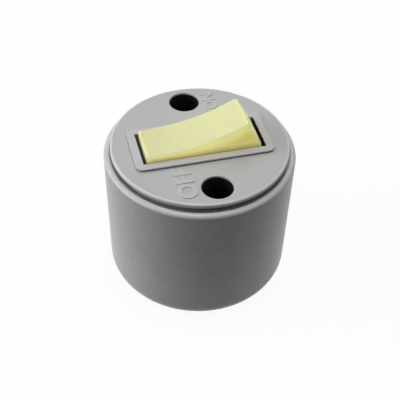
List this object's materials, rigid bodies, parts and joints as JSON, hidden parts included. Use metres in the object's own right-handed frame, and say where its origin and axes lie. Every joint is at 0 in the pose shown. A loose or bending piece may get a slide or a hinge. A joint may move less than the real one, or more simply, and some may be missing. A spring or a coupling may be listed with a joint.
{
  "type": "surface mount rocker switch",
  "caption": "Round surface-mount rocker switch: cup body, cover plate with screw wells, raised bezel, and a see-saw contact mechanism under a tilting rocker.",
  "frame": {"origin": "centre of the flat base, on the wall plane", "axes": "+Z out of the wall towards the rocker, +X along the rocker towards its raised end, Y through the two screw wells"},
  "size_m": [0.05, 0.05, 0.0503],
  "materials": {
    "grey_plastic": "satin",
    "yellow_plastic": "satin",
    "black_plastic": "matte",
    "white_nylon": "satin",
    "spring_steel": "satin",
    "phosphor_bronze": "satin",
    "silver": "polished",
    "brass": "satin",
    "plated_steel": "satin"
  },
  "bodies": {
    "housing": {"body_cup": "grey_plastic", "cover_plate": "grey_plastic", "bezel_frame": "grey_plastic", "screw_sleeve_front": "black_plastic", "screw_sleeve_rear": "black_plastic", "switch_base": "black_plastic", "common_terminal": "brass", "load_terminal": "brass", "fixed_contact": "silver", "terminal_screw_common": "plated_steel", "terminal_screw_load": "plated_steel", "wire_clamp_common": "plated_steel", "wire_clamp_load": "plated_steel", "terminal_rivet_common": "brass", "terminal_rivet_load": "brass", "base_screw_front": "plated_steel", "base_screw_rear": "plated_steel"},
    "rocker_body": {"rocker": "yellow_plastic", "plunger_spring": "spring_steel"},
    "plunger_body": {"plunger": "white_nylon"},
    "blade_body": {"contact_blade": "phosphor_bronze", "blade_contact": "silver"}
  },
  "joints": [
    {"name": "rocker_tilt", "type": "hinge", "parent": "housing", "child": "rocker_body", "pos_m": [0, 0, 0.0383], "axis": [0, 1, 0], "range_deg": [0, 26.6]},
    {"name": "plunger_slide", "type": "slide", "parent": "rocker_body", "child": "plunger_body", "axis": [0.23, 0, -0.9732], "range_m": [-0.001, 0.0003], "stiffness_N_per_m": 600, "springref_m": 0.003, "deforming": ["plunger_spring"]},
    {"name": "blade_tilt", "type": "hinge", "parent": "housing", "child": "blade_body", "pos_m": [0, 0, 0.03082], "axis": [0, 1, 0], "range_deg": [-14, 0]}
  ],
  "couplings": [
    {"joint": "blade_tilt", "follows": "rocker_tilt", "ratio": -0.526}
  ]
}
